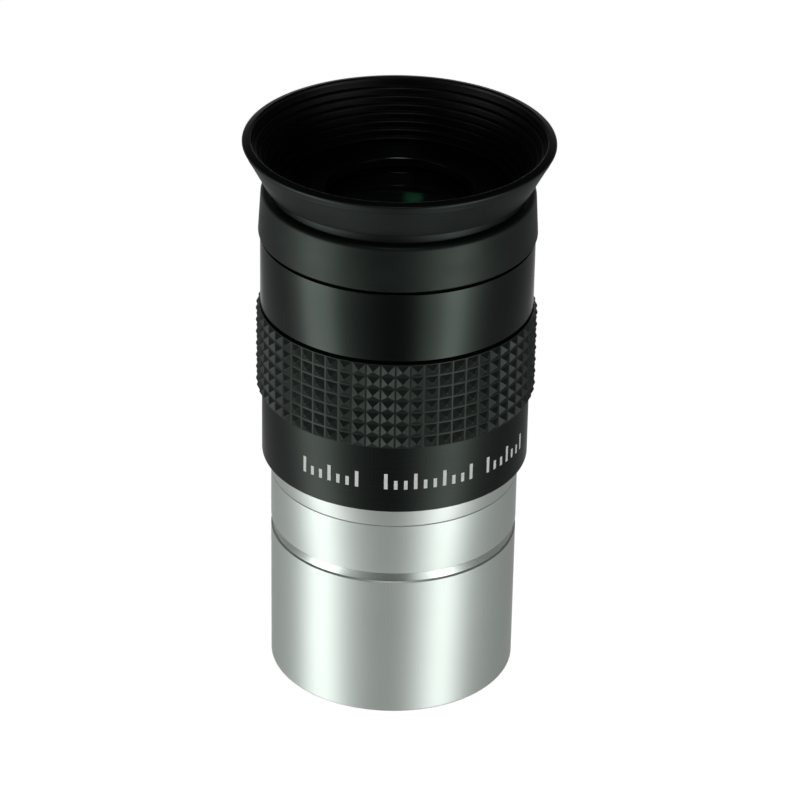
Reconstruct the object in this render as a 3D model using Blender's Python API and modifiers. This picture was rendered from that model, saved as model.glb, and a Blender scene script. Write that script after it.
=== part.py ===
"""Telescope eyepiece, 1.25 inch push-in size, 25 mm focal length, as a Blender model.

The object stands upright on the bottom rim of its barrel. The origin is the centre of that rim and +Z runs
up the optical axis to the eye. Every piece is turned about that axis, so each one is an outline of
(radius, height) points swept by a Screw modifier. Heights in an outline are measured from the piece's own
datum height, where its origin sits on the axis. Lengths are metres.

Screw threads are left as plain cylinders with a running clearance.
"""
from math import cos, pi, radians, sin, sqrt

import bmesh
import bpy

MM = 0.001

# --- driving dimensions ---------------------------------------------------------------------------------
TURN_STEPS = 48                     # facets round every turned piece
MERGE_DISTANCE = 0.00001

FIT_GAP = 0.05 * MM                 # clearance between pieces that seat on each other
THREAD_GAP = 0.1 * MM               # radial clearance in a screw thread

# heights above the barrel's bottom rim
SEAT_RING_BOTTOM_Z = 27.8 * MM
SHOULDER_Z = 30.5 * MM              # the housing's lower face, which stops on the telescope's holder
GRIP_BOTTOM_Z = 39.8 * MM
GRIP_TOP_Z = 51.8 * MM
COLLAR_BOTTOM_Z = 61.4 * MM
HOUSING_TOP_Z = 67.2 * MM
NECK_Z = 67.8 * MM                  # where the folding skirt meets the fixed collar
RIM_Z = 74.2 * MM

# barrel
BARREL_RADIUS = 15.875 * MM         # the 1.25 inch standard
BARREL_BORE_RADIUS = 13.9 * MM
BARREL_EDGE = 0.3 * MM              # chamfer on its lower rim
FILTER_THREAD_RADIUS = 14.15 * MM
FILTER_THREAD_DEPTH = 5.5 * MM
SAFETY_GROOVE_BOTTOM_Z = 19.4 * MM
SAFETY_GROOVE_HEIGHT = 1.5 * MM
SAFETY_GROOVE_DEPTH = 0.35 * MM
SAFETY_GROOVE_SLOPE = 0.12 * MM
BARREL_NECK_RADIUS = 14.95 * MM     # inside the seat ring
TENON_RADIUS = 14.6 * MM            # male thread that screws into the housing
TENON_BORE_RADIUS = 13.3 * MM
TENON_LENGTH = 4.5 * MM
TENON_EDGE = 0.2 * MM

# field stop
STOP_TOP_Z = 31.0 * MM
STOP_THICKNESS = 1.4 * MM
STOP_APERTURE_RADIUS = 11.2 * MM
STOP_BEVEL = 0.9 * MM
STOP_LAND = 0.15 * MM               # height of the knife edge

# housing
BODY_RADIUS = 17.25 * MM            # smooth section above the grip
BAND_RADIUS = 17.05 * MM            # plain band below the grip
BAND_EDGE = 0.15 * MM
GRIP_SEAT_RADIUS = 16.2 * MM
HOUSING_NECK_RADIUS = 15.2 * MM     # inside the rubber collar
SOCKET_DEPTH = 4.9 * MM             # female thread for the barrel's tenon
CHAMBER_RADIUS = 13.0 * MM          # clear space between field stop and lenses
CHAMBER_TOP_Z = 45.8 * MM
EYE_APERTURE_RADIUS = 9.0 * MM
EYE_LIP_THICKNESS = 1.2 * MM
EYE_LIP_EDGE = 0.3 * MM

# lenses: two cemented doublets, a mirror pair with their convex crowns facing each other
LENS_RADIUS = 11.0 * MM
CEMENTED_CURVE = 22.0 * MM          # radius of the surface shared by flint and crown
INNER_CURVE = 28.0 * MM             # radius of the crown's free surface
FLINT_CENTRE = 1.6 * MM
CROWN_CENTRE = 6.6 * MM
DOUBLET_AIR_GAP = 0.5 * MM          # between the two crowns, on the axis
LENS_CURVE_STEPS = 5
SPACER_WALL = 0.9 * MM

# lens retaining ring
RETAINER_RADIUS = 11.5 * MM
RETAINER_APERTURE_RADIUS = 9.8 * MM
RETAINER_HEIGHT = 2.5 * MM
SPANNER_SLOT_WIDTH = 1.5 * MM
SPANNER_SLOT_DEPTH = 0.9 * MM

# rubber grip ring
GRIP_RADIUS = 17.75 * MM
GRIP_EDGE = 0.2 * MM

# rubber eyecup
COLLAR_TOP_RADIUS = 17.15 * MM
COLLAR_BASE_RADIUS = 17.5 * MM
COLLAR_BASE_HEIGHT = 1.0 * MM       # the widest part of the collar, at its foot
COLLAR_EDGE_RADIUS = 0.5 * MM
NECK_OUTER_RADIUS = 15.9 * MM       # floor of the groove that lets the skirt fold
NECK_INNER_RADIUS = 14.4 * MM
SKIRT_FOOT_Z = 68.7 * MM
SKIRT_FOOT_RADIUS = 17.15 * MM
LIP_RADIUS = 0.7 * MM               # rounding of the skirt's rim
RIM_RADIUS = 19.6 * MM
LIP_INNER_SHIFT = 1.35 * MM         # rim's full thickness
ARC_STEPS = 4

# worked-out heights and radii
TENON_TOP_Z = SHOULDER_Z + TENON_LENGTH
EYE_LENS_TOP_Z = HOUSING_TOP_Z - EYE_LIP_THICKNESS - FIT_GAP
LENS_BORE_RADIUS = LENS_RADIUS + FIT_GAP


def sag(curve, radius):
    """Depth of a sphere of radius `curve` at `radius` from its axis."""
    return curve - sqrt(curve * curve - radius * radius)


SPACER_SAG = sag(INNER_CURVE, LENS_RADIUS - SPACER_WALL)
CROWN_TOP = FLINT_CENTRE + FIT_GAP                # depth of the crown's vertex below the flint's flat face
CROWN_BOTTOM = CROWN_TOP + CROWN_CENTRE
SPACER_SEAT = CROWN_BOTTOM - SPACER_SAG           # depth at which the spacer's inner edge meets the crown
LENS_STACK = 2 * CROWN_BOTTOM + DOUBLET_AIR_GAP
FIELD_LENS_BOTTOM_Z = EYE_LENS_TOP_Z - LENS_STACK
RETAINER_TOP_Z = FIELD_LENS_BOTTOM_Z - FIT_GAP


# --- helpers --------------------------------------------------------------------------------------------
def clear_scene():
    for item in list(bpy.data.objects):
        bpy.data.objects.remove(item, do_unlink=True)


def new_collection(name):
    collection = bpy.data.collections.new(name)
    bpy.context.scene.collection.children.link(collection)
    return collection


def new_material(name, colour, roughness, metallic=0.0, transmission=0.0):
    material = bpy.data.materials.new(name)
    material.use_nodes = True
    shader = material.node_tree.nodes["Principled BSDF"]
    shader.inputs["Base Color"].default_value = (*colour, 1.0)
    shader.inputs["Roughness"].default_value = roughness
    shader.inputs["Metallic"].default_value = metallic
    shader.inputs["Transmission Weight"].default_value = transmission
    material.diffuse_color = (*colour, 1.0)
    return material


def arc(centre, radius, start, end, steps=ARC_STEPS):
    """Points on a circle in the outline's plane, from angle `start` to `end` in degrees."""
    points = []
    for step in range(steps + 1):
        angle = radians(start + (end - start) * step / steps)
        points.append((centre[0] + radius * cos(angle), centre[1] + radius * sin(angle)))
    return points


def turned(name, outline, datum_z, material, collection, on_axis=False):
    """A solid of revolution. The outline runs down its outer side; a ring's outline also closes on itself."""
    mesh = bpy.data.meshes.new(name)
    points = [(radius, 0.0, height - datum_z) for radius, height in outline]
    edges = [(index, index + 1) for index in range(len(points) - 1)]
    if not on_axis:
        edges.append((len(points) - 1, 0))
    mesh.from_pydata(points, edges, [])
    piece = bpy.data.objects.new(name, mesh)
    piece.location = (0.0, 0.0, datum_z)
    collection.objects.link(piece)
    mesh.materials.append(material)
    screw = piece.modifiers.new("turn", "SCREW")
    screw.axis = "Z"
    screw.angle = 2 * pi
    screw.steps = TURN_STEPS
    screw.render_steps = TURN_STEPS
    screw.use_merge_vertices = True
    screw.merge_threshold = MERGE_DISTANCE
    screw.use_smooth_shade = True
    return piece


def box_cutter(name, size, centre, collection):
    mesh = bpy.data.meshes.new(name)
    form = bmesh.new()
    bmesh.ops.create_cube(form, size=1.0)
    bmesh.ops.scale(form, vec=size, verts=form.verts)
    form.to_mesh(mesh)
    form.free()
    cutter = bpy.data.objects.new(name, mesh)
    cutter.location = centre
    cutter.display_type = "WIRE"
    cutter.hide_render = True
    collection.objects.link(cutter)
    return cutter


def cut(piece, cutter):
    boolean = piece.modifiers.new(cutter.name, "BOOLEAN")
    boolean.operation = "DIFFERENCE"
    boolean.solver = "EXACT"
    boolean.object = cutter


# --- barrel ---------------------------------------------------------------------------------------------
def barrel_tube(material, collection):
    """Chromed push-in tube with its safety groove, filter thread bore and the tenon that screws it in."""
    groove_top = SAFETY_GROOVE_BOTTOM_Z + SAFETY_GROOVE_HEIGHT
    groove_radius = BARREL_RADIUS - SAFETY_GROOVE_DEPTH
    outline = [
        (TENON_BORE_RADIUS, TENON_TOP_Z),
        (TENON_RADIUS - TENON_EDGE, TENON_TOP_Z),
        (TENON_RADIUS, TENON_TOP_Z - TENON_EDGE),
        (TENON_RADIUS, SHOULDER_Z - FIT_GAP),
        (BARREL_NECK_RADIUS, SHOULDER_Z - FIT_GAP),
        (BARREL_NECK_RADIUS, SEAT_RING_BOTTOM_Z - FIT_GAP),
        (BARREL_RADIUS, SEAT_RING_BOTTOM_Z - FIT_GAP),
        (BARREL_RADIUS, groove_top),
        (groove_radius, groove_top - SAFETY_GROOVE_SLOPE),
        (groove_radius, SAFETY_GROOVE_BOTTOM_Z + SAFETY_GROOVE_SLOPE),
        (BARREL_RADIUS, SAFETY_GROOVE_BOTTOM_Z),
        (BARREL_RADIUS, BARREL_EDGE),
        (BARREL_RADIUS - BARREL_EDGE, 0.0),
        (FILTER_THREAD_RADIUS + BARREL_EDGE, 0.0),
        (FILTER_THREAD_RADIUS, BARREL_EDGE),
        (FILTER_THREAD_RADIUS, FILTER_THREAD_DEPTH),
        (BARREL_BORE_RADIUS, FILTER_THREAD_DEPTH + BARREL_EDGE),
        (BARREL_BORE_RADIUS, STOP_TOP_Z),
        (TENON_BORE_RADIUS, STOP_TOP_Z),
    ]
    return turned("barrel_tube", outline, 0.0, material, collection)


def barrel_seat_ring(material, collection):
    """Plain ring between the barrel's body and the housing's shoulder."""
    inner = BARREL_NECK_RADIUS + FIT_GAP
    top = SHOULDER_Z - FIT_GAP
    outline = [
        (inner, top),
        (BARREL_RADIUS, top),
        (BARREL_RADIUS, SEAT_RING_BOTTOM_Z),
        (inner, SEAT_RING_BOTTOM_Z),
    ]
    return turned("barrel_seat_ring", outline, SEAT_RING_BOTTOM_Z, material, collection)


def field_stop_ring(material, collection):
    """Blackened ring whose knife edge bounds the field of view."""
    outer = BARREL_BORE_RADIUS - FIT_GAP
    top = STOP_TOP_Z - FIT_GAP
    bottom = top - STOP_THICKNESS
    outline = [
        (STOP_APERTURE_RADIUS, top),
        (outer, top),
        (outer, bottom),
        (STOP_APERTURE_RADIUS + STOP_BEVEL, bottom),
        (STOP_APERTURE_RADIUS, top - STOP_LAND),
    ]
    return turned("field_stop_ring", outline, bottom, material, collection)


# --- housing --------------------------------------------------------------------------------------------
def housing_body(material, collection):
    """Black turned body: eye aperture and lens bore above, socket for the barrel's tenon below."""
    socket_radius = TENON_RADIUS + THREAD_GAP
    socket_top = SHOULDER_Z + SOCKET_DEPTH
    retainer_bore = RETAINER_RADIUS + THREAD_GAP
    lip_bottom = HOUSING_TOP_Z - EYE_LIP_THICKNESS
    outline = [
        (EYE_APERTURE_RADIUS + EYE_LIP_EDGE, HOUSING_TOP_Z),
        (HOUSING_NECK_RADIUS, HOUSING_TOP_Z),
        (HOUSING_NECK_RADIUS, COLLAR_BOTTOM_Z),
        (BODY_RADIUS, COLLAR_BOTTOM_Z),
        (BODY_RADIUS, GRIP_TOP_Z + FIT_GAP),
        (GRIP_SEAT_RADIUS, GRIP_TOP_Z + FIT_GAP),
        (GRIP_SEAT_RADIUS, GRIP_BOTTOM_Z - FIT_GAP),
        (BAND_RADIUS, GRIP_BOTTOM_Z - FIT_GAP),
        (BAND_RADIUS, SHOULDER_Z + BAND_EDGE),
        (BAND_RADIUS - BAND_EDGE, SHOULDER_Z),
        (socket_radius, SHOULDER_Z),
        (socket_radius, socket_top),
        (CHAMBER_RADIUS, socket_top),
        (CHAMBER_RADIUS, CHAMBER_TOP_Z),
        (retainer_bore, CHAMBER_TOP_Z),
        (retainer_bore, FIELD_LENS_BOTTOM_Z),
        (LENS_BORE_RADIUS, FIELD_LENS_BOTTOM_Z),
        (LENS_BORE_RADIUS, lip_bottom),
        (EYE_APERTURE_RADIUS, lip_bottom),
        (EYE_APERTURE_RADIUS, HOUSING_TOP_Z - EYE_LIP_EDGE),
    ]
    return turned("housing_body", outline, SHOULDER_Z, material, collection)


def grip_ring(material, collection):
    """Rubber sleeve in the housing's groove."""
    inner = GRIP_SEAT_RADIUS + FIT_GAP
    outline = [
        (inner, GRIP_TOP_Z),
        (GRIP_RADIUS - GRIP_EDGE, GRIP_TOP_Z),
        (GRIP_RADIUS, GRIP_TOP_Z - GRIP_EDGE),
        (GRIP_RADIUS, GRIP_BOTTOM_Z + GRIP_EDGE),
        (GRIP_RADIUS - GRIP_EDGE, GRIP_BOTTOM_Z),
        (inner, GRIP_BOTTOM_Z),
    ]
    return turned("grip_ring", outline, GRIP_BOTTOM_Z, material, collection)


# --- lenses ---------------------------------------------------------------------------------------------
def curved_face(curve, vertex_depth, outwards):
    """(radius, depth) points of a spherical face that sinks away from its vertex; outwards starts on the axis."""
    radii = [LENS_RADIUS * step / LENS_CURVE_STEPS for step in range(LENS_CURVE_STEPS + 1)]
    points = [(radius, vertex_depth + sag(curve, radius)) for radius in radii]
    return points if outwards else points[::-1]


def flint_depths():
    """Plano-concave element: flat face at depth 0, hollow face towards the crown."""
    return [(0.0, 0.0), (LENS_RADIUS, 0.0)] + curved_face(CEMENTED_CURVE, FLINT_CENTRE, outwards=False)


def crown_depths():
    """Biconvex element: its steeper face is cemented to the flint."""
    outer_face = curved_face(CEMENTED_CURVE, CROWN_TOP, outwards=True)
    inner_face = [(radius, CROWN_BOTTOM - sag(INNER_CURVE, radius))
                  for radius, _ in curved_face(INNER_CURVE, 0.0, outwards=False)]
    return outer_face + inner_face


def lens_element(name, depths, flat_face_z, direction, material, collection):
    """Place an element by its doublet's flat face; direction -1 lies below that face and +1 above it."""
    outline = [(radius, flat_face_z + direction * depth) for radius, depth in depths]
    if direction > 0:
        outline.reverse()
    return turned(name, outline, flat_face_z, material, collection, on_axis=True)


def lens_spacer_ring(material, collection):
    """Ring that holds the two doublets apart near their edges."""
    top = EYE_LENS_TOP_Z - SPACER_SEAT - FIT_GAP
    bottom = FIELD_LENS_BOTTOM_Z + SPACER_SEAT + FIT_GAP
    inner = LENS_RADIUS - SPACER_WALL
    outline = [(inner, top), (LENS_RADIUS, top), (LENS_RADIUS, bottom), (inner, bottom)]
    return turned("lens_spacer_ring", outline, bottom, material, collection)


def lens_retaining_ring(material, collection, cutters):
    """Threaded ring that holds the lens stack in; two slots across its lower face take a spanner."""
    bottom = RETAINER_TOP_Z - RETAINER_HEIGHT
    outline = [
        (RETAINER_APERTURE_RADIUS, RETAINER_TOP_Z),
        (RETAINER_RADIUS, RETAINER_TOP_Z),
        (RETAINER_RADIUS, bottom),
        (RETAINER_APERTURE_RADIUS, bottom),
    ]
    ring = turned("lens_retaining_ring", outline, bottom, material, collection)
    slots = box_cutter("spanner_slots",
                       (2.2 * RETAINER_RADIUS, SPANNER_SLOT_WIDTH, 2 * SPANNER_SLOT_DEPTH),
                       (0.0, 0.0, bottom), cutters)
    cut(ring, slots)
    return ring


# --- eyecup ---------------------------------------------------------------------------------------------
def eyecup_collar(material, collection):
    """The half of the rubber eyecup that stays put: it grips the housing's neck and hooks over its face."""
    inner = HOUSING_NECK_RADIUS + FIT_GAP
    hook_bottom = HOUSING_TOP_Z + FIT_GAP
    top_edge = (COLLAR_TOP_RADIUS - COLLAR_EDGE_RADIUS, HOUSING_TOP_Z - COLLAR_EDGE_RADIUS)
    outline = [
        (NECK_INNER_RADIUS, NECK_Z - FIT_GAP),
        (NECK_OUTER_RADIUS, NECK_Z - FIT_GAP),
        (NECK_OUTER_RADIUS, HOUSING_TOP_Z),
        *arc(top_edge, COLLAR_EDGE_RADIUS, 90, 0),
        (COLLAR_BASE_RADIUS, COLLAR_BOTTOM_Z + COLLAR_BASE_HEIGHT),
        (COLLAR_BASE_RADIUS, COLLAR_BOTTOM_Z + FIT_GAP),
        (inner, COLLAR_BOTTOM_Z + FIT_GAP),
        (inner, hook_bottom),
        (NECK_INNER_RADIUS, hook_bottom),
    ]
    return turned("eyecup_collar", outline, COLLAR_BOTTOM_Z, material, collection)


def eyecup_skirt(material, collection):
    """The half of the rubber eyecup that folds down: a flared cup above the neck groove."""
    lip_centre = (RIM_RADIUS - LIP_RADIUS, RIM_Z - LIP_RADIUS)
    lip_inner = RIM_RADIUS - LIP_INNER_SHIFT
    outline = [
        (lip_inner, RIM_Z - LIP_RADIUS / 2),
        *arc(lip_centre, LIP_RADIUS, 90, -40),
        (SKIRT_FOOT_RADIUS, SKIRT_FOOT_Z),
        (NECK_OUTER_RADIUS, SKIRT_FOOT_Z),
        (NECK_OUTER_RADIUS, NECK_Z),
        (NECK_INNER_RADIUS, NECK_Z),
    ]
    return turned("eyecup_skirt", outline, NECK_Z, material, collection)


# --- assembly -------------------------------------------------------------------------------------------
def build():
    clear_scene()
    parts = new_collection("telescope_eyepiece")
    cutters = new_collection("cutters")

    chrome = new_material("satin_chrome", (0.62, 0.63, 0.61), 0.28, metallic=1.0)
    seat_metal = new_material("turned_aluminium", (0.68, 0.69, 0.67), 0.35, metallic=1.0)
    anodised = new_material("black_anodised_aluminium", (0.018, 0.021, 0.019), 0.34, metallic=0.4)
    blackened = new_material("matte_blackened_metal", (0.01, 0.01, 0.01), 0.7, metallic=0.2)
    grip_rubber = new_material("grip_rubber", (0.022, 0.026, 0.023), 0.6)
    cup_rubber = new_material("eyecup_rubber", (0.026, 0.03, 0.027), 0.65)
    crown_glass = new_material("crown_glass", (0.95, 0.98, 0.96), 0.02, transmission=1.0)
    flint_glass = new_material("flint_glass", (0.93, 0.97, 0.94), 0.02, transmission=1.0)

    barrel_tube(chrome, parts)
    barrel_seat_ring(seat_metal, parts)
    field_stop_ring(blackened, parts)
    housing_body(anodised, parts)
    grip_ring(grip_rubber, parts)
    lens_element("eye_lens_flint", flint_depths(), EYE_LENS_TOP_Z, -1, flint_glass, parts)
    lens_element("eye_lens_crown", crown_depths(), EYE_LENS_TOP_Z, -1, crown_glass, parts)
    lens_spacer_ring(blackened, parts)
    lens_element("field_lens_crown", crown_depths(), FIELD_LENS_BOTTOM_Z, 1, crown_glass, parts)
    lens_element("field_lens_flint", flint_depths(), FIELD_LENS_BOTTOM_Z, 1, flint_glass, parts)
    lens_retaining_ring(blackened, parts, cutters)
    eyecup_collar(cup_rubber, parts)
    eyecup_skirt(cup_rubber, parts)


build()
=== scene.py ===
"""Looks for the telescope eyepiece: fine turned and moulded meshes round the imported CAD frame.

Everything is in metres. Heights and outer radii come from the CAD nodes' boxes; the sizes that a box doesn't
give, such as bores, are named below.
"""
from itertools import product
from math import atan2, ceil, cos, pi, radians, sin, sqrt, tan

import bpy
import numpy as np
from mathutils import Matrix, Vector


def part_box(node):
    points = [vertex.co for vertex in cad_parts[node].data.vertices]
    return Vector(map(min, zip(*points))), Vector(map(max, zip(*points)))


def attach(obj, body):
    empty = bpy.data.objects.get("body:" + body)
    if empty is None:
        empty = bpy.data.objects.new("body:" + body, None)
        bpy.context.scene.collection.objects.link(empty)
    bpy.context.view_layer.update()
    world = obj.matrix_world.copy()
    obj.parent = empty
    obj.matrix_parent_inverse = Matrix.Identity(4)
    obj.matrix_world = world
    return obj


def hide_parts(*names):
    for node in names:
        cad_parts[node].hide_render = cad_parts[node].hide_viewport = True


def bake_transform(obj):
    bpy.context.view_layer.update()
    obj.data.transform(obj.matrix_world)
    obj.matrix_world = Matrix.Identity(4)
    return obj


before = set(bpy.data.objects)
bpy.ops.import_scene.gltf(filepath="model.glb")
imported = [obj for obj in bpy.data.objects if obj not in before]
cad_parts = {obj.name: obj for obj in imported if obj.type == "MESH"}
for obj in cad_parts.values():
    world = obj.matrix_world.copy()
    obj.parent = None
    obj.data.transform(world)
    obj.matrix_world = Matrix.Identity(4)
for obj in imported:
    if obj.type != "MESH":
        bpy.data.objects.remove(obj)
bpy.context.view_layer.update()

MM = 0.001
ROUND_STEPS = 240                  # facets round a smooth turned piece
FILLET_STEPS = 5
FILLET_SHARE = 0.49                # of a side's length that the fillet at one end may take
THREAD_STEPS = 8                   # points per pitch along a threaded wall
SHARP_ANGLE = radians(32)


# --- sizes ----------------------------------------------------------------------------------------------
def node_radius(node):
    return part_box(node)[1].x


def node_bottom(node):
    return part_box(node)[0].z


def node_top(node):
    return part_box(node)[1].z


FIT_GAP = 0.05 * MM                # clearance between neighbouring pieces

BARREL_R = node_radius("barrel_tube")
TENON_TOP = node_top("barrel_tube")
SEAT_RING_BOTTOM = node_bottom("barrel_seat_ring")
SEAT_RING_TOP = node_top("barrel_seat_ring")
BARREL_NECK_R = 14.95 * MM
BARREL_BORE_R = 13.9 * MM
TENON_R = 14.6 * MM
TENON_BORE_R = 13.3 * MM
TENON_THREAD_PITCH = 0.75 * MM
TENON_THREAD_DEPTH = 0.36 * MM
FILTER_THREAD_R = 14.15 * MM
FILTER_THREAD_LENGTH = 5.2 * MM
FILTER_THREAD_PITCH = 0.6 * MM
FILTER_THREAD_DEPTH = 0.26 * MM
GROOVE_BOTTOM = 19.4 * MM
GROOVE_HEIGHT = 1.5 * MM
GROOVE_DEPTH = 0.25 * MM
GROOVE_SLOPE = 0.18 * MM           # height of the groove's slanting sides

STOP_APERTURE_R = 11.2 * MM
STOP_BEVEL = 0.9 * MM

SHOULDER = node_bottom("housing_body")
HOUSING_TOP = node_top("housing_body")
BODY_R = node_radius("housing_body")
BAND_R = 17.05 * MM
GRIP_SEAT_R = 16.2 * MM
HOUSING_NECK_R = 15.2 * MM
SOCKET_R = 14.7 * MM
SOCKET_DEPTH = 4.9 * MM
CHAMBER_R = 13.0 * MM
CHAMBER_TOP = 45.8 * MM
EYE_APERTURE_R = 9.0 * MM
EYE_LIP = 1.2 * MM
EYE_EDGE = 0.7 * MM                # width of the edge round the eye aperture, lighter and glossier than the housing: a painted highlight

GRIP_BOTTOM = node_bottom("grip_ring")
GRIP_TOP = node_top("grip_ring")
GRIP_R = node_radius("grip_ring")
KNURL_COLUMNS = 60
KNURL_ROWS = 7
KNURL_TIP_R = GRIP_R + 0.05 * MM
KNURL_DEPTH = 0.42 * MM
KNURL_VALLEY = 0.2 * MM            # width of the flat between two pyramids
KNURL_TIP = 0.14 * MM              # width of a pyramid's blunt top
KNURL_EDGE = 0.045 * MM            # bevel along every edge of a pyramid
KNURL_BEVEL_ANGLE = radians(18)
KNURL_SHARP_ANGLE = radians(20)
SLEEVE_DROP = 0.3 * MM             # the sleeve's top lies this far below its CAD stand-in
HOUSING_LIP = 0.12 * MM            # and the housing's lip this far above it, which leaves a shadow gap

COLLAR_BOTTOM = node_bottom("eyecup_collar")
COLLAR_BASE_R = node_radius("eyecup_collar")
COLLAR_TOP_R = 17.15 * MM
COLLAR_TOP = HOUSING_TOP + 0.2 * MM
COLLAR_GAP = 0.4 * MM              # shadow gap between the collar's foot and the housing
NECK_OUTER_R = 15.9 * MM
SKIRT_FOOT_Z = 68.7 * MM
SKIRT_FOOT_R = 16.82 * MM
RIM_Z = node_top("eyecup_skirt")
RIM_R = node_radius("eyecup_skirt")
LIP_CREST_R = 18.4 * MM
LIP_BEVEL = 0.3 * MM               # height of the slope from the crest to the rim's outer corner
BEAD_DROP = 1.0 * MM               # fine moulded bead under the rim
BEAD_HEIGHT = 0.03 * MM
BEAD_REACH = 0.15 * MM             # above and below the bead's crest
CUP_STEPS = 7                      # moulded stairs down the inside of the cup
CUP_FOOT_R = 14.0 * MM
CUP_FOOT_Z = HOUSING_TOP + 0.4 * MM
STAIR_NOSE = 0.28 * MM             # rounding of each stair's edge
STAIR_ROOT = 0.06 * MM             # and of the corner behind its tread
TREAD_SHARE = 0.88                 # of a stair's width that its tread takes
TREAD_RISE = 0.12                  # of a stair's height that its tread climbs

LENS_R = node_radius("eye_lens_crown")
LENS_STEPS = 18                    # points from the middle of a curved face to its edge
CEMENTED_CURVE = 22.0 * MM
INNER_CURVE = 28.0 * MM
FLINT_CENTRE = 1.6 * MM
CROWN_CENTRE = 6.6 * MM
RETAINER_R = node_radius("lens_retaining_ring")
RETAINER_APERTURE_R = 9.8 * MM
SPACER_WALL = 0.9 * MM
SLOT_WIDTH = 1.5 * MM              # spanner slots across the retaining ring
SLOT_DEPTH = 0.9 * MM

# white graduations: each group's first tick, as a distance round the band from its front, and its tick count
TICK_GROUPS = ((-12.2 * MM, 7), (-1.0 * MM, 10), (13.0 * MM, 7))
TICKS_PER_LONG = 3
TICK_PITCH = 1.25 * MM
TICK_STROKE = 0.45 * MM
LONG_TICK = 2.2 * MM
SHORT_TICK = 1.25 * MM
TICK_FOOT_Z = SHOULDER + 3.3 * MM
INK_THICKNESS = 0.012 * MM


# --- mesh helpers ---------------------------------------------------------------------------------------
def rounded(corners, closed=True):
    """Turn (radius, height, fillet) corners into an outline with an arc at each fillet."""
    outline = []
    count = len(corners)
    for index, (r, z, fillet) in enumerate(corners):
        at_end = not closed and index in (0, count - 1)
        if fillet <= 0 or at_end:
            outline.append((r, z))
            continue
        here = Vector((r, z))
        back = Vector(corners[index - 1][:2]) - here
        ahead = Vector(corners[(index + 1) % count][:2]) - here
        half = back.angle(ahead) / 2
        reach = min(fillet / tan(half), FILLET_SHARE * back.length, FILLET_SHARE * ahead.length)
        radius = reach * tan(half)
        back.normalize()
        ahead.normalize()
        centre = here + (back + ahead).normalized() * (radius / sin(half))
        start = here + back * reach - centre
        end = here + ahead * reach - centre
        sweep = start.angle_signed(end)
        first = atan2(start.y, start.x)
        for step in range(FILLET_STEPS + 1):
            angle = first - sweep * step / FILLET_STEPS
            outline.append((centre.x + radius * cos(angle), centre.y + radius * sin(angle)))
    return outline


def add_object(name, data):
    """Put a mesh, light or camera into the scene."""
    thing = bpy.data.objects.new(name, data)
    bpy.context.scene.collection.objects.link(thing)
    return thing


def finish_mesh(name, verts, faces, materials, indices=None, sharp=SHARP_ANGLE):
    """Link a new mesh object, shaded smooth except along edges that turn by more than `sharp`."""
    mesh = bpy.data.meshes.new(name)
    mesh.from_pydata(verts, [], faces)
    for material in materials:
        mesh.materials.append(material)
    if indices is not None:
        mesh.polygons.foreach_set("material_index", indices)
    mesh.shade_smooth()
    mesh.set_sharp_from_angle(angle=sharp)
    mesh.validate()
    return add_object(name, mesh)


def turned(name, outline, materials, paint=None, threads=(), on_axis=False):
    """Sweep an outline round Z. It runs down the outer side, so faces look out of the material.

    `paint(radius, height)` picks each side's material by the middle of that side. A thread is a helical
    ridge (lowest height, highest height, pitch, radial change at its root) in a densely divided stretch.
    """
    turns = np.linspace(0, 2 * pi, ROUND_STEPS, endpoint=False)
    verts = []
    rows = []
    for r, z in outline:
        if on_axis and r == 0:
            rows.append([len(verts)] * ROUND_STEPS)
            verts.append((0.0, 0.0, z))
            continue
        rows.append(list(range(len(verts), len(verts) + ROUND_STEPS)))
        for angle in turns:
            reach = r
            for low, high, pitch, change in threads:
                if low < z < high:
                    phase = (z / pitch - angle / (2 * pi)) % 1.0
                    fade = min(1.0, (z - low) / pitch, (high - z) / pitch)
                    reach += change * fade * abs(2 * phase - 1)
            verts.append((reach * cos(angle), reach * sin(angle), z))
    faces = []
    indices = []
    pairs = [(index, index + 1) for index in range(len(outline) - 1)]
    if not on_axis:
        pairs.append((len(outline) - 1, 0))
    for upper, lower in pairs:
        middle = [(a + b) / 2 for a, b in zip(outline[upper], outline[lower])]
        index = materials.index(paint(*middle)) if paint else 0
        for step in range(ROUND_STEPS):
            after = (step + 1) % ROUND_STEPS
            loop = (rows[upper][step], rows[lower][step], rows[lower][after], rows[upper][after])
            faces.append(tuple(dict.fromkeys(loop)))    # at the axis the loop closes to a triangle
            indices.append(index)
    return finish_mesh(name, verts, faces, materials, indices)


def threaded_wall(radius, start, end, pitch):
    """Evenly spaced points along a straight cylinder, dense enough to carry a thread of this pitch."""
    count = ceil(abs(end - start) / (pitch / THREAD_STEPS))
    return [(radius, start + (end - start) * step / count) for step in range(count + 1)]


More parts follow.
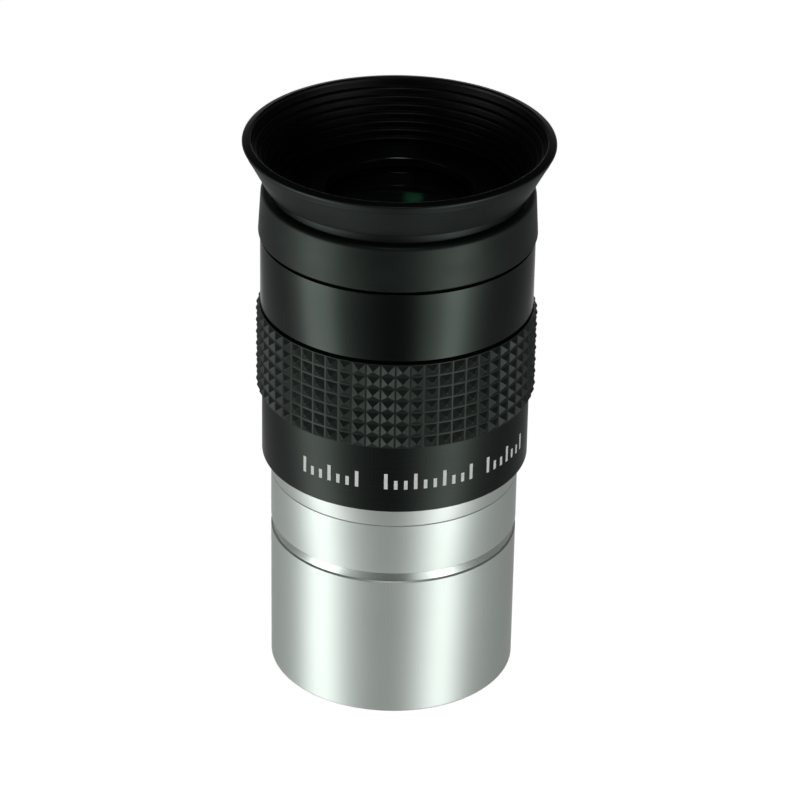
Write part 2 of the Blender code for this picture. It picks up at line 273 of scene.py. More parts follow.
# --- material helpers -----------------------------------------------------------------------------------
class Graph:
    """A material's node tree with short calls for the nodes used here."""

    def __init__(self, name):
        self.material = bpy.data.materials.new(name)
        self.material.use_nodes = True
        self.tree = self.material.node_tree
        self.shader = self.tree.nodes["Principled BSDF"]

    def add(self, kind, **settings):
        node = self.tree.nodes.new(kind)
        for key, value in settings.items():
            setattr(node, key, value)
        return node

    def link(self, source, target):
        self.tree.links.new(source, target)

    def set(self, **values):
        """Set the shader's own sockets; an underscore stands for a space in a socket's name."""
        for key, value in values.items():
            self.shader.inputs[key.replace("_", " ")].default_value = value

    def coordinates(self, scale=(1, 1, 1)):
        source = self.add("ShaderNodeTexCoord")
        mapping = self.add("ShaderNodeMapping")
        mapping.inputs["Scale"].default_value = scale
        self.link(source.outputs["Object"], mapping.inputs["Vector"])
        return mapping.outputs["Vector"]

    def noise(self, vector, scale, detail=3.0, roughness=0.55):
        node = self.add("ShaderNodeTexNoise")
        node.inputs["Scale"].default_value = scale
        node.inputs["Detail"].default_value = detail
        node.inputs["Roughness"].default_value = roughness
        self.link(vector, node.inputs["Vector"])
        return node.outputs["Fac"]

    def spread(self, value, low, high, source_low=0.3, source_high=0.7):
        """Stretch the middle of a noise's range to low..high."""
        node = self.add("ShaderNodeMapRange")
        node.inputs["From Min"].default_value = source_low
        node.inputs["From Max"].default_value = source_high
        node.inputs["To Min"].default_value = low
        node.inputs["To Max"].default_value = high
        self.link(value, node.inputs["Value"])
        return node.outputs["Result"]

    def shades(self, value, dark, light):
        """A colour between two shades."""
        node = self.add("ShaderNodeMix", data_type="RGBA")
        node.inputs["A"].default_value = (*dark, 1)
        node.inputs["B"].default_value = (*light, 1)
        self.link(value, node.inputs["Factor"])
        return node.outputs["Result"]

    def bump(self, height, distance, strength=1.0, below=None):
        node = self.add("ShaderNodeBump")
        node.inputs["Distance"].default_value = distance
        node.inputs["Strength"].default_value = strength
        self.link(height, node.inputs["Height"])
        if below is not None:
            self.link(below, node.inputs["Normal"])
        return node.outputs["Normal"]

    def round_grain(self):
        """Highlights stretch up and down the turned surface, across its fine tool marks."""
        tangent = self.add("ShaderNodeTangent", direction_type="RADIAL", axis="Z")
        self.link(tangent.outputs["Tangent"], self.shader.inputs["Tangent"])


def turned_metal(name, shades, roughness, anisotropy, metallic, mark_depth, tint=None, shine=0.5):
    """Turned metal: faint tool marks round the axis and slight changes of shade and gloss."""
    graph = Graph(name)
    graph.set(Metallic=metallic, Anisotropic=anisotropy, Specular_IOR_Level=shine)
    if tint:
        graph.set(Specular_Tint=(*tint, 1))
    marks = graph.noise(graph.coordinates(scale=(150, 150, 12000)), scale=1.0, detail=2)
    blotches = graph.noise(graph.coordinates(), scale=160.0)
    fine = graph.noise(graph.coordinates(), scale=9000.0, detail=2)
    graph.link(graph.shades(blotches, *shades), graph.shader.inputs["Base Color"])
    gloss = graph.spread(marks, roughness * 0.96, roughness * 1.04)
    graph.link(gloss, graph.shader.inputs["Roughness"])
    normal = graph.bump(fine, mark_depth)
    graph.link(graph.bump(marks, mark_depth, below=normal), graph.shader.inputs["Normal"])
    graph.round_grain()
    return graph.material


def rubber(name, shades, roughness, grain, grain_depth, tint, shine=0.5):
    """Moulded rubber: fine skin grain, faint bloom and smears."""
    graph = Graph(name)
    graph.set(Specular_Tint=(*tint, 1), Specular_IOR_Level=shine)
    smears = graph.noise(graph.coordinates(scale=(1, 1, 2.5)), scale=120.0, detail=5)
    skin = graph.noise(graph.coordinates(), scale=grain, detail=3)
    graph.link(graph.shades(smears, *shades), graph.shader.inputs["Base Color"])
    graph.link(graph.spread(smears, roughness - 0.06, roughness + 0.07), graph.shader.inputs["Roughness"])
    graph.link(graph.bump(skin, grain_depth), graph.shader.inputs["Normal"])
    return graph.material


def matte_paint(name, shades):
    """Dull paint with a fine sprayed grain."""
    graph = Graph(name)
    grain = graph.noise(graph.coordinates(), scale=5000.0)
    graph.link(graph.shades(grain, *shades), graph.shader.inputs["Base Color"])
    graph.link(graph.spread(grain, 0.6, 0.8), graph.shader.inputs["Roughness"])
    graph.link(graph.bump(grain, 0.01 * MM), graph.shader.inputs["Normal"])
    return graph.material


def lens_glass(name, shades, tint, index, haze_low, haze_high):
    """Optical glass, greyed so that the view through it is dark: painted shade. `tint` colours its
    reflections: a dark one stands for a cemented or coated face.
    """
    graph = Graph(name)
    graph.set(Transmission_Weight=1.0, IOR=index, Specular_Tint=(*tint, 1))
    haze = graph.noise(graph.coordinates(), scale=220.0, detail=2)
    graph.link(graph.spread(haze, haze_low, haze_high), graph.shader.inputs["Roughness"])
    graph.link(graph.shades(haze, *shades), graph.shader.inputs["Base Color"])
    return graph.material


def printing_ink(name, shades):
    """Screen-printed ink with faint wear."""
    graph = Graph(name)
    wear = graph.noise(graph.coordinates(), scale=2500.0, detail=4)
    graph.link(graph.shades(wear, *shades), graph.shader.inputs["Base Color"])
    graph.link(graph.spread(wear, 0.35, 0.55), graph.shader.inputs["Roughness"])
    return graph.material


# the tints colour a surface's reflections
GREEN_TINT = (0.80, 1.0, 0.88)
NEUTRAL = (1.0, 1.0, 1.0)
NO_GLARE = (0.02, 0.02, 0.02)
COATING_GREEN = (0.25, 1.0, 0.6)
CROWN_INDEX = 1.52
FLINT_INDEX = 1.62

# (darkest, lightest) colour of each surface
CHROME = ((0.70, 0.78, 0.73), (0.75, 0.82, 0.775))
SILVER = ((0.70, 0.76, 0.72), (0.75, 0.80, 0.76))
BORE_GREY = ((0.16, 0.17, 0.16), (0.20, 0.21, 0.20))
HOUSING_BLACK = ((0.0016, 0.002, 0.0018), (0.0028, 0.0034, 0.003))
BAND_BLACK = ((0.0028, 0.0034, 0.003), (0.004, 0.0048, 0.0043))
# the eye aperture's edge, lighter than the housing: painted highlight
EDGE_HIGHLIGHT_BLACK = ((0.004, 0.0048, 0.0043), (0.006, 0.0072, 0.0064))
CUP_BLACK = ((0.0072, 0.0090, 0.0080), (0.0100, 0.0122, 0.0110))
# the cup's inside is the same rubber as its outside, painted far darker: painted shade of the deep cup
CUP_INSIDE_PAINTED_SHADE = ((0.0012, 0.0013, 0.0012), (0.0020, 0.0022, 0.0021))
GRIP_BLACK = ((0.0105, 0.0128, 0.0115), (0.015, 0.018, 0.0165))
MATTE_BLACK = ((0.004, 0.004, 0.004), (0.012, 0.012, 0.012))
# clear glass greyed so the lenses look dark: painted shade of the eyepiece's inside
SHADED_GLASS_GREY = ((0.26, 0.31, 0.28), (0.30, 0.35, 0.32))
INK_WHITE = ((0.80, 0.82, 0.80), (0.95, 0.96, 0.95))

satin_chrome = turned_metal("satin_chrome", CHROME, roughness=0.30, anisotropy=0.75, metallic=0.62,
                            mark_depth=0.0002 * MM)
seat_silver = turned_metal("seat_ring_silver", SILVER, roughness=0.31, anisotropy=0.7, metallic=0.62,
                           mark_depth=0.0004 * MM)
groove_chrome = turned_metal("groove_chrome", CHROME, roughness=0.19, anisotropy=0.6, metallic=0.8,
                             mark_depth=0.0002 * MM)
bore_metal = turned_metal("bore_metal", BORE_GREY, roughness=0.45, anisotropy=0.3, metallic=1.0,
                          mark_depth=0.001 * MM)
anodised = turned_metal("black_anodised", HOUSING_BLACK, roughness=0.19, anisotropy=0.7, metallic=0.0,
                        mark_depth=0.0002 * MM, tint=GREEN_TINT)
anodised_band = turned_metal("black_anodised_band", BAND_BLACK, roughness=0.28, anisotropy=0.6, metallic=0.0,
                             mark_depth=0.0001 * MM, tint=GREEN_TINT, shine=0.4)
anodised_highlight_edge = turned_metal("black_anodised_painted_highlight", EDGE_HIGHLIGHT_BLACK, roughness=0.2, anisotropy=0.0, metallic=0.0,
                             mark_depth=0.0001 * MM, tint=GREEN_TINT, shine=0.9)
cup_rubber = rubber("eyecup_rubber", CUP_BLACK, roughness=0.39, grain=2600.0, grain_depth=0.004 * MM,
                    tint=GREEN_TINT, shine=0.4)
# darker rubber for the cup's inside: painted shade
cup_inside_shaded_rubber = rubber("eyecup_inside_painted_shade", CUP_INSIDE_PAINTED_SHADE, roughness=0.4, grain=2600.0,
                           grain_depth=0.003 * MM, tint=NEUTRAL)
grip_rubber = rubber("grip_rubber", GRIP_BLACK, roughness=0.39, grain=3500.0, grain_depth=0.003 * MM,
                     tint=GREEN_TINT, shine=0.35)
stop_black = matte_paint("matte_black_metal", MATTE_BLACK)
crown_glass = lens_glass("crown_glass", SHADED_GLASS_GREY, NO_GLARE, CROWN_INDEX, haze_low=0.005, haze_high=0.02)
flint_glass = lens_glass("flint_glass", SHADED_GLASS_GREY, COATING_GREEN, FLINT_INDEX, haze_low=0.035,
                         haze_high=0.055)
cemented_flint = lens_glass("cemented_flint", SHADED_GLASS_GREY, NO_GLARE, FLINT_INDEX, haze_low=0.005,
                            haze_high=0.02)
white_print = printing_ink("white_print", INK_WHITE)


# --- barrel ---------------------------------------------------------------------------------------------
def make_barrel():
    groove_top = GROOVE_BOTTOM + GROOVE_HEIGHT
    groove_r = BARREL_R - GROOVE_DEPTH
    stop_seat = node_top("field_stop_ring") + FIT_GAP
    relief_r = TENON_R - 0.25 * MM
    relief_top = SEAT_RING_TOP + 0.4 * MM
    tenon_thread = (SEAT_RING_TOP + 0.5 * MM, TENON_TOP - 0.2 * MM)
    filter_thread = (0.25 * MM, FILTER_THREAD_LENGTH + 0.3 * MM)
    outline = rounded([
        (TENON_BORE_R, stop_seat, 0),
        (TENON_BORE_R, TENON_TOP, 0.1 * MM),
        (TENON_R, TENON_TOP, 0),
    ], closed=False)
    outline[-1:] = threaded_wall(TENON_R, tenon_thread[1], tenon_thread[0], TENON_THREAD_PITCH)
    outline += rounded([
        (TENON_R, tenon_thread[0], 0),
        (relief_r, relief_top, 0.05 * MM),
        (relief_r, SEAT_RING_TOP, 0.05 * MM),
        (BARREL_NECK_R, SEAT_RING_TOP, 0.05 * MM),
        (BARREL_NECK_R, SEAT_RING_BOTTOM - FIT_GAP, 0),
        (BARREL_R, SEAT_RING_BOTTOM - FIT_GAP, 0.09 * MM),
        (BARREL_R, groove_top, 0.04 * MM),
        (groove_r, groove_top - GROOVE_SLOPE, 0.08 * MM),
        (groove_r, GROOVE_BOTTOM + GROOVE_SLOPE, 0.08 * MM),
        (BARREL_R, GROOVE_BOTTOM, 0.04 * MM),
        (BARREL_R, 0, 0.3 * MM),
        (FILTER_THREAD_R, 0, 0.2 * MM),
        (FILTER_THREAD_R, filter_thread[1], 0),
    ], closed=False)[1:-1]
    outline += threaded_wall(FILTER_THREAD_R, *filter_thread, FILTER_THREAD_PITCH)
    outline += [
        (BARREL_BORE_R, filter_thread[1] + 0.25 * MM),
        (BARREL_BORE_R, stop_seat),
    ]
    threads = [
        (*tenon_thread, TENON_THREAD_PITCH, -TENON_THREAD_DEPTH),
        (*filter_thread, FILTER_THREAD_PITCH, -FILTER_THREAD_DEPTH),
    ]

    def paint(r, z):
        if r < TENON_R - 0.5 * MM:
            return bore_metal
        on_groove_floor = GROOVE_BOTTOM < z < groove_top and r < groove_r + 0.02 * MM
        return groove_chrome if on_groove_floor else satin_chrome

    piece = turned("barrel", outline, [satin_chrome, groove_chrome, bore_metal], paint, threads)
    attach(piece, "barrel")
    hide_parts("barrel_tube")


def make_seat_ring():
    inner = BARREL_NECK_R + FIT_GAP
    edge = 0.06 * MM
    outline = rounded([
        (inner, SEAT_RING_TOP, edge),
        (BARREL_R, SEAT_RING_TOP, edge),
        (BARREL_R, SEAT_RING_BOTTOM, edge * 1.5),
        (inner, SEAT_RING_BOTTOM, edge),
    ])
    piece = turned("seat_ring", outline, [seat_silver])
    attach(piece, "barrel_seat")
    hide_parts("barrel_seat_ring")


def make_field_stop():
    outer = node_radius("field_stop_ring")
    low, high = node_bottom("field_stop_ring"), node_top("field_stop_ring")
    edge = 0.1 * MM
    outline = rounded([
        (STOP_APERTURE_R, high, 0.03 * MM),
        (outer, high, edge),
        (outer, low, edge),
        (STOP_APERTURE_R + STOP_BEVEL, low, edge),
        (STOP_APERTURE_R, high - 0.12 * MM, 0),
    ])
    piece = turned("field_stop", outline, [stop_black])
    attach(piece, "barrel")
    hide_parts("field_stop_ring")


# --- housing --------------------------------------------------------------------------------------------
def make_housing():
    field_lens_bottom = node_bottom("field_lens_flint")
    lens_bore = LENS_R + FIT_GAP
    retainer_bore = RETAINER_R + 0.1 * MM
    edge = 0.08 * MM
    gap_depth = 0.6 * MM
    outline = rounded([
        (EYE_APERTURE_R, HOUSING_TOP, 0.5 * MM),
        (HOUSING_NECK_R, HOUSING_TOP, 0.2 * MM),
        (HOUSING_NECK_R, COLLAR_BOTTOM - FIT_GAP, 0),
        (BODY_R - gap_depth, COLLAR_BOTTOM - FIT_GAP, 0),
        (BODY_R - gap_depth, COLLAR_BOTTOM - COLLAR_GAP, 0),
        (BODY_R, COLLAR_BOTTOM - COLLAR_GAP, edge),
        (BODY_R, GRIP_TOP + HOUSING_LIP, edge * 1.5),
        (GRIP_SEAT_R, GRIP_TOP + HOUSING_LIP, 0),
        (GRIP_SEAT_R, GRIP_BOTTOM - FIT_GAP, 0),
        (BAND_R, GRIP_BOTTOM - FIT_GAP, edge),
        (BAND_R, SHOULDER, 0.18 * MM),
        (SOCKET_R, SHOULDER, 0.2 * MM),
        (SOCKET_R, SHOULDER + SOCKET_DEPTH, 0),
        (CHAMBER_R, SHOULDER + SOCKET_DEPTH, edge),
        (CHAMBER_R, CHAMBER_TOP, 0.4 * MM),
        (retainer_bore, CHAMBER_TOP, edge),
        (retainer_bore, field_lens_bottom, 0),
        (lens_bore, field_lens_bottom, 0),
        (lens_bore, HOUSING_TOP - EYE_LIP, 0),
        (EYE_APERTURE_R, HOUSING_TOP - EYE_LIP, 0),
    ])

    def paint(r, z):
        # the aperture's edge takes the lighter, glossier anodising: a painted highlight
        if r < EYE_APERTURE_R + EYE_EDGE and z > HOUSING_TOP - EYE_EDGE:
            return anodised_highlight_edge
        inside = r < HOUSING_NECK_R - 0.1 * MM and SHOULDER + 0.3 * MM < z < HOUSING_TOP - 0.6 * MM
        if inside:
            return stop_black
        return anodised_band if z < GRIP_BOTTOM else anodised

    piece = turned("housing", outline, [anodised, stop_black, anodised_band, anodised_highlight_edge], paint)
    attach(piece, "housing")
    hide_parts("housing_body")


# --- grip ring ------------------------------------------------------------------------------------------
def make_grip():
    """Rubber sleeve moulded with rows of blunt pyramids, with a narrow flat valley between neighbours."""
    top = GRIP_TOP - SLEEVE_DROP
    pitch_z = (top - GRIP_BOTTOM) / KNURL_ROWS
    pitch_turn = 2 * pi / KNURL_COLUMNS
    valley_r = KNURL_TIP_R - KNURL_DEPTH
    inner_r = GRIP_SEAT_R + FIT_GAP
    base = KNURL_VALLEY / 2 / pitch_z
    tip = 0.5 - KNURL_TIP / 2 / pitch_z
    verts = []
    known = {}
    faces = []

    def vertex(key, turns, r, z):
        """The vertex that goes by `key`, made at its first use; `turns` counts columns round the sleeve."""
        if key not in known:
            known[key] = len(verts)
            angle = turns * pitch_turn
            verts.append((r * cos(angle), r * sin(angle), z))
        return known[key]

    def corner(column, row, across, down, inset, r):
        """A corner of the square in cell (column, row) that lies `inset` of a pitch inside the cell."""
        turns = column + (1 - inset if across else inset)
        z = top - (row + (1 - inset if down else inset)) * pitch_z
        return vertex((column % KNURL_COLUMNS, row, across, down, r), turns, r, z)

    def foot(column, row, across, down):
        return corner(column, row, across, down, base, valley_r)

    def peak(column, row, across, down):
        return corner(column, row, across, down, tip, KNURL_TIP_R)

    def rim(column, across, r, z):
        turns = column + (1 - base if across else base)
        return vertex((column % KNURL_COLUMNS, across, r, z), turns, r, z)

    turn = ((0, 0), (0, 1), (1, 1), (1, 0))
    for column in range(KNURL_COLUMNS):
        beside = column + 1
        for row in range(KNURL_ROWS):
            faces.append([peak(column, row, *at) for at in turn])
            for first, second in zip(turn, turn[1:] + turn[:1]):
                faces.append([foot(column, row, *first), foot(column, row, *second),
                              peak(column, row, *second), peak(column, row, *first)])
            faces.append([foot(column, row, 1, 0), foot(column, row, 1, 1),
                          foot(beside, row, 0, 1), foot(beside, row, 0, 0)])
        for row in range(KNURL_ROWS - 1):
            faces.append([foot(column, row, 0, 1), foot(column, row + 1, 0, 0),
                          foot(column, row + 1, 1, 0), foot(column, row, 1, 1)])
            faces.append([foot(column, row, 1, 1), foot(column, row + 1, 1, 0),
                          foot(beside, row + 1, 0, 0), foot(beside, row, 0, 1)])
        last = KNURL_ROWS - 1
        upper = [foot(column, 0, 0, 0), foot(column, 0, 1, 0), foot(beside, 0, 0, 0)]
        lower = [foot(column, last, 0, 1), foot(column, last, 1, 1), foot(beside, last, 0, 1)]
        rings = [upper] + [
            [rim(column, 0, r, z), rim(column, 1, r, z), rim(beside, 0, r, z)]
            for r, z in ((valley_r, top), (inner_r, top), (inner_r, GRIP_BOTTOM), (valley_r, GRIP_BOTTOM))
        ] + [lower]
        for before, after in zip(rings, rings[1:]):
            faces.append([before[0], before[1], after[1], after[0]])
            faces.append([before[1], before[2], after[2], after[1]])
    piece = finish_mesh("grip", verts, faces, [grip_rubber], sharp=KNURL_SHARP_ANGLE)
    bevel = piece.modifiers.new("soft_edges", "BEVEL")
    bevel.width = KNURL_EDGE
    bevel.segments = 2
    bevel.limit_method = "ANGLE"
    bevel.angle_limit = KNURL_BEVEL_ANGLE
    bevel.harden_normals = True
    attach(piece, "housing")
    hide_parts("grip_ring")


# --- eyecup ---------------------------------------------------------------------------------------------
def cup_wall(top, bottom):
    """The cup's inner side as moulded stairs: each is a nearly level tread with a steep riser behind it."""
    points = []
    width = (top[0] - bottom[0]) / CUP_STEPS
    height = (top[1] - bottom[1]) / CUP_STEPS
    for step in range(CUP_STEPS):
        r = bottom[0] + step * width
        z = bottom[1] + step * height
        points += [
            (r, z, STAIR_NOSE),
            (r + TREAD_SHARE * width, z + TREAD_RISE * height, STAIR_ROOT),
        ]
    return points


def skirt_bead():
    """A low bead round the skirt's outer cone, a little below the rim."""
    top_z = RIM_Z - LIP_BEVEL
    lean = (RIM_R - SKIRT_FOOT_R) / (top_z - SKIRT_FOOT_Z)
    points = []
    for drop, height in ((-BEAD_REACH, 0), (0, BEAD_HEIGHT), (BEAD_REACH, 0)):
        down = BEAD_DROP + drop
        points.append((RIM_R - lean * down + height, top_z - down, 0.1 * MM))
    return points


def make_eyecup():
    inner = HOUSING_NECK_R + FIT_GAP
    cup_top = (LIP_CREST_R - 0.15 * MM, RIM_Z - 0.45 * MM)
    cup_bottom = (CUP_FOOT_R, CUP_FOOT_Z)
    corners = [
        (LIP_CREST_R, RIM_Z, 0.28 * MM),
        (RIM_R, RIM_Z - LIP_BEVEL, 0.25 * MM),
        *skirt_bead(),
        (SKIRT_FOOT_R, SKIRT_FOOT_Z, 0.6 * MM),
        (NECK_OUTER_R, SKIRT_FOOT_Z, 0.2 * MM),
        (NECK_OUTER_R, COLLAR_TOP, 0.2 * MM),
        (COLLAR_TOP_R, COLLAR_TOP, 0.95 * MM),
        (COLLAR_BASE_R, COLLAR_BOTTOM + 0.2 * MM, 0.2 * MM),
        (COLLAR_BASE_R - 0.2 * MM, COLLAR_BOTTOM, 0.08 * MM),
        (inner, COLLAR_BOTTOM, 0.1 * MM),
        (inner, HOUSING_TOP + FIT_GAP, 0),
        (CUP_FOOT_R, HOUSING_TOP + FIT_GAP, 0.05 * MM),
        *cup_wall(cup_top, cup_bottom),
        (*cup_top, STAIR_ROOT),
    ]
    outline = rounded(corners)

    def paint(r, z):
        cone = (z - cup_bottom[1]) / (cup_top[1] - cup_bottom[1])
        inside_r = cup_bottom[0] + (cup_top[0] - cup_bottom[0]) * cone
        # the inside of the cup takes the darker rubber: painted shade
        in_painted_shade = z > HOUSING_TOP and r < inside_r + 0.35 * MM
        return cup_inside_shaded_rubber if in_painted_shade else cup_rubber

    piece = turned("eyecup", outline, [cup_rubber, cup_inside_shaded_rubber], paint)
    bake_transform(piece)
    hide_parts("eyecup_collar", "eyecup_skirt")


# --- lenses ---------------------------------------------------------------------------------------------
def sag(curve, r):
    return curve - sqrt(curve * curve - r * r)


def face_points(curve, outwards):
    radii = [LENS_R * step / LENS_STEPS for step in range(LENS_STEPS + 1)]
    points = [(r, sag(curve, r)) for r in radii]
    return points if outwards else points[::-1]


def flint_outline():
    edge = 0.15 * MM
    hollow = [(r, FLINT_CENTRE + depth) for r, depth in face_points(CEMENTED_CURVE, outwards=False)]
    return [(0, 0), (LENS_R - edge, 0), (LENS_R, edge)] + hollow


def crown_outline():
    top = FLINT_CENTRE + FIT_GAP
    bottom = top + CROWN_CENTRE
    upper = [(r, top + depth) for r, depth in face_points(CEMENTED_CURVE, outwards=True)]
    lower = [(r, bottom - depth) for r, depth in face_points(INNER_CURVE, outwards=False)]
    return upper + lower


def make_lens(name, node, depths, flat_face, direction, materials):
    """One element of a doublet, built up (direction 1) or down (-1) from the height of the flat face.

    The flat face, if this element has it, takes the first material, and everything else takes the last.
    """
    outline = [(r, flat_face + direction * depth) for r, depth in depths]
    if direction > 0:
        outline.reverse()

    def paint(r, z):
        return materials[0 if abs(z - flat_face) < FIT_GAP else -1]

    piece = turned(name, outline, materials, paint, on_axis=True)
    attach(piece, "housing")
    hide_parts(node)


def make_lenses():
    eye_face = node_top("eye_lens_flint")
    field_face = node_bottom("field_lens_flint")
    flint, crown = [flint_glass, cemented_flint], [crown_glass]
    make_lens("eye_flint", "eye_lens_flint", flint_outline(), eye_face, -1, flint)
    make_lens("eye_crown", "eye_lens_crown", crown_outline(), eye_face, -1, crown)
    make_lens("field_crown", "field_lens_crown", crown_outline(), field_face, 1, crown)
    make_lens("field_flint", "field_lens_flint", flint_outline(), field_face, 1, flint)


def plain_ring(name, node, inner, slotted=False):
    low, high, outer = node_bottom(node), node_top(node), node_radius(node)
    edge = 0.12 * MM
    outline = rounded([(inner, high, edge), (outer, high, edge), (outer, low, edge), (inner, low, edge)])
    piece = turned(name, outline, [stop_black])
    if slotted:
        cut_slots(piece, low, outer)
    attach(piece, "housing")
    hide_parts(node)


def cut_slots(piece, bottom, outer):
    """Spanner slots straight across the ring's lower face."""
    corner = Vector((1.2 * outer, SLOT_WIDTH / 2, SLOT_DEPTH))    # long enough to pass right across the ring
    verts = [(x * corner.x, y * corner.y, bottom + z * corner.z) for x, y, z in product((-1, 1), repeat=3)]
    faces = [(0, 1, 3, 2), (4, 6, 7, 5), (0, 4, 5, 1), (2, 3, 7, 6), (0, 2, 6, 4), (1, 5, 7, 3)]
    mesh = bpy.data.meshes.new("slot_cutter")
    mesh.from_pydata(verts, [], faces)
    cutter = add_object("slot_cutter", mesh)
    boolean = piece.modifiers.new("slots", "BOOLEAN")
    boolean.object = cutter
    boolean.solver = "EXACT"
    bpy.context.view_layer.update()
    cut_mesh = bpy.data.meshes.new_from_object(piece.evaluated_get(bpy.context.evaluated_depsgraph_get()))
    piece.modifiers.clear()
    piece.data = cut_mesh
    bpy.data.objects.remove(cutter)
    cut_mesh.set_sharp_from_angle(angle=SHARP_ANGLE)


# --- printed marks --------------------------------------------------------------------------------------
def make_marks():
    """Plain white graduations in three groups round the front of the lower band."""
    verts = []
    faces = []
    for start, count in TICK_GROUPS:
        for tick in range(count):
            distance = start + tick * TICK_PITCH
            tall = tick % TICKS_PER_LONG == 0 or tick == count - 1
            height = LONG_TICK if tall else SHORT_TICK
            first = len(verts)
            for z in (TICK_FOOT_Z, TICK_FOOT_Z + height):
                for side in (-0.5, 0.5):
                    angle = (distance + side * TICK_STROKE) / BAND_R - pi / 2
                    for r in (BAND_R - INK_THICKNESS, BAND_R + INK_THICKNESS):
                        verts.append((r * cos(angle), r * sin(angle), z))
            for loop in ((1, 3, 7, 5), (0, 4, 6, 2), (0, 1, 5, 4), (2, 6, 7, 3), (4, 5, 7, 6), (0, 2, 3, 1)):
                faces.append([first + index for index in loop])
    piece = finish_mesh("printed_marks", verts, faces, [white_print])
    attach(piece, "housing")


# --- stage ----------------------------------------------------------------------------------------------
FLOOR_REACH = 3.0
FLOOR_DROP = 4.0 * MM              # clears the barrel's rim when the barrel is screwed right out
FLOOR_GLOW = 0.95
FLOOR_WHITE = ((0.86, 0.86, 0.86), (0.88, 0.88, 0.88))

# brightness of the tent by bearing: 0 is the front, positive is to the right, 180 is behind
TENT_BEARINGS = (
    (-180, 0.55), (-168, 0.6), (-156, 0.28), (-140, 0.2), (-112, 0.19), (-98, 0.35), (-85, 1.1), (-74, 2.5),
    (-61, 2.4), (-49, 0.8), (-35, 0.32), (-18, 0.1), (0, 0.03), (12, 0.05), (20, 0.5), (27, 0.85),
    (38, 1.6), (48, 2.8), (58, 1.8), (70, 0.6), (84, 0.2), (112, 0.13), (140, 0.17), (156, 0.24),
    (168, 0.55), (180, 0.55),
)
# share of that brightness by the sine of the elevation: dim straight down, nearly none from 15 degrees up
TENT_HEIGHTS = (
    (-1.0, 0.14), (-0.96, 0.18), (-0.8, 0.56), (-0.62, 0.78), (-0.42, 0.8), (-0.22, 1.0), (0.04, 1.0),
    (0.16, 0.45), (0.24, 0.1), (0.34, 0.02), (1.0, 0.01),
)
BRIGHTEST = 3.0                    # brightness at the top of the bearings' curve
TENT_GAIN = 1.22

OVERHEAD_ELEVATION = radians(64)
OVERHEAD_DISTANCE = 1.0
OVERHEAD_SIZE = (0.3, 0.3)
OVERHEAD_POWER = 0.5
SPARK_SPOT = (1.7 * MM, -0.2 * MM)  # where the lens mirrors the small lamp
SPARK_AWAY = (0.004, 0.901, 0.433)
SPARK_DISTANCE = 0.5
SPARK_SIZE = (0.005, 0.002)
SPARK_POWER = 0.000007

CAMERA_TARGET_Z = 36.0 * MM
CAMERA_DISTANCE = 490.4 * MM
CAMERA_ELEVATION = radians(28.83)
CAMERA_ROLL = radians(1.0)
CAMERA_LENS = 172.2                # on a 36 mm sensor
CAMERA_CLIP = (0.01, 20.0)
# the view's middle, right of and above the target
CAMERA_AIM = (0.617 * MM, 1.047 * MM)


def make_floor():
    """A glowing sheet of white acrylic. Only the camera sees it, so it throws no glare on the object."""
    corners = [(x * FLOOR_REACH, y * FLOOR_REACH, 0) for x, y in ((-1, -1), (1, -1), (1, 1), (-1, 1))]
    mesh = bpy.data.meshes.new("floor")
    mesh.from_pydata(corners, [], [(0, 1, 2, 3)])
    floor = add_object("floor", mesh)
    floor.location.z = -FLOOR_DROP
    graph = Graph("floor_acrylic")
    graph.set(Roughness=0.9, Specular_IOR_Level=0.1)
    graph.set(Emission_Color=(*NEUTRAL, 1), Emission_Strength=FLOOR_GLOW)
    grain = graph.noise(graph.coordinates(), scale=300.0)
    graph.link(graph.shades(grain, *FLOOR_WHITE), graph.shader.inputs["Base Color"])
    mesh.materials.append(graph.material)
    floor.visible_glossy = False
    floor.visible_diffuse = False
    floor.visible_shadow = False
    floor.visible_transmission = False


def light_curve(nodes, links, source, low, high, stops, full):
    """A smooth curve through (position, brightness) stops."""
    share = nodes.new("ShaderNodeMapRange")
    share.inputs["From Min"].default_value = low
    share.inputs["From Max"].default_value = high
    links.new(source, share.inputs["Value"])
    curve_node = nodes.new("ShaderNodeFloatCurve")
    links.new(share.outputs["Result"], curve_node.inputs["Value"])
    curve = curve_node.mapping.curves[0]
    while len(curve.points) < len(stops):
        curve.points.new(0.5, 0.5)
    first, last = stops[0][0], stops[-1][0]
    for point, (position, value) in zip(curve.points, stops):
        point.location = ((position - first) / (last - first), value / full)
        point.handle_type = "AUTO_CLAMPED"
    curve_node.mapping.update()
    return curve_node.outputs["Value"]


def math_node(nodes, links, operation, first, second):
    node = nodes.new("ShaderNodeMath")
    node.operation = operation
    for socket, value in zip(node.inputs, (first, second)):
        if isinstance(value, (int, float)):
            socket.default_value = value
        else:
            links.new(value, socket)
    return node.outputs["Value"]


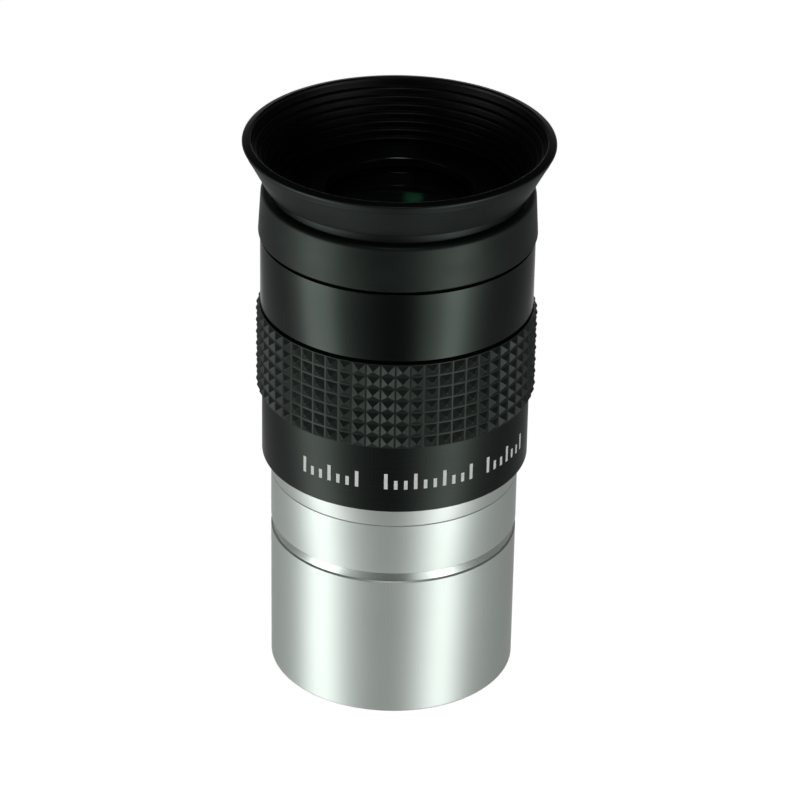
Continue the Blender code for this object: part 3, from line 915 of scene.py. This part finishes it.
def make_world():
    """A light tent: a bright upright panel on either side of a dark front, and a dim glow behind."""
    world = bpy.data.worlds.new("studio")
    bpy.context.scene.world = world
    world.use_nodes = True
    nodes, links = world.node_tree.nodes, world.node_tree.links
    background = nodes["Background"]
    source = nodes.new("ShaderNodeTexCoord")
    parts = nodes.new("ShaderNodeSeparateXYZ")
    links.new(source.outputs["Generated"], parts.inputs["Vector"])
    ahead = math_node(nodes, links, "MULTIPLY", parts.outputs["Y"], -1.0)
    bearing = math_node(nodes, links, "ARCTAN2", parts.outputs["X"], ahead)
    round_about = light_curve(nodes, links, bearing, -pi, pi, TENT_BEARINGS, BRIGHTEST)
    up_down = light_curve(nodes, links, parts.outputs["Z"], -1.0, 1.0, TENT_HEIGHTS, 1.0)
    tent = math_node(nodes, links, "MULTIPLY", round_about, up_down)
    brightness = math_node(nodes, links, "MULTIPLY", tent, BRIGHTEST * TENT_GAIN)
    sight = nodes.new("ShaderNodeLightPath")
    pick = nodes.new("ShaderNodeMix")
    links.new(sight.outputs["Is Camera Ray"], pick.inputs["Factor"])
    links.new(brightness, pick.inputs["A"])
    pick.inputs["B"].default_value = 1.0    # the camera itself sees plain white
    links.new(pick.outputs["Result"], background.inputs["Strength"])
    background.inputs["Color"].default_value = (*NEUTRAL, 1)


def disk_light(name, aim, away, distance, size, power, colour):
    """An elliptical softbox that shines on `aim` from the direction `away`."""
    data = bpy.data.lights.new(name, "AREA")
    data.shape = "ELLIPSE"
    data.size, data.size_y = size
    data.energy = power
    data.color = colour
    light = add_object(name, data)
    light.location = aim + away * distance
    light.rotation_euler = away.to_track_quat("Z", "Y").to_euler()


def make_lights():
    """A weak softbox above the front, and a small lamp behind that the eye lens mirrors as a spark."""
    front = Vector((0, -cos(OVERHEAD_ELEVATION), sin(OVERHEAD_ELEVATION)))
    disk_light("overhead_softbox", Vector((0, 0, HOUSING_TOP)), front, OVERHEAD_DISTANCE, OVERHEAD_SIZE,
               OVERHEAD_POWER, NEUTRAL)
    spot = Vector((*SPARK_SPOT, node_top("eye_lens_flint")))
    behind = Vector(SPARK_AWAY).normalized()
    disk_light("lens_spark", spot, behind, SPARK_DISTANCE, SPARK_SIZE, SPARK_POWER, COATING_GREEN)


def make_camera():
    data = bpy.data.cameras.new("camera")
    data.lens = CAMERA_LENS
    data.clip_start, data.clip_end = CAMERA_CLIP
    camera = add_object("camera", data)
    back = Vector((0, -cos(CAMERA_ELEVATION), sin(CAMERA_ELEVATION)))
    right = Vector((1, 0, 0))
    up = back.cross(right)
    target = Vector((0, 0, CAMERA_TARGET_Z))
    camera.location = target + back * CAMERA_DISTANCE
    aim = target + right * CAMERA_AIM[0] + up * CAMERA_AIM[1]
    look = (aim - camera.location).to_track_quat("-Z", "Y").to_matrix().to_4x4()
    camera.matrix_world = Matrix.Translation(camera.location) @ look @ Matrix.Rotation(CAMERA_ROLL, 4, "Z")
    bpy.context.scene.camera = camera


make_barrel()
make_seat_ring()
make_field_stop()
make_housing()
make_grip()
make_eyecup()
make_lenses()
plain_ring("spacer", "lens_spacer_ring", LENS_R - SPACER_WALL)
plain_ring("retainer", "lens_retaining_ring", RETAINER_APERTURE_R, slotted=True)
make_marks()
make_floor()
make_world()
make_lights()
make_camera()
bpy.context.scene.view_settings.view_transform = "Standard"
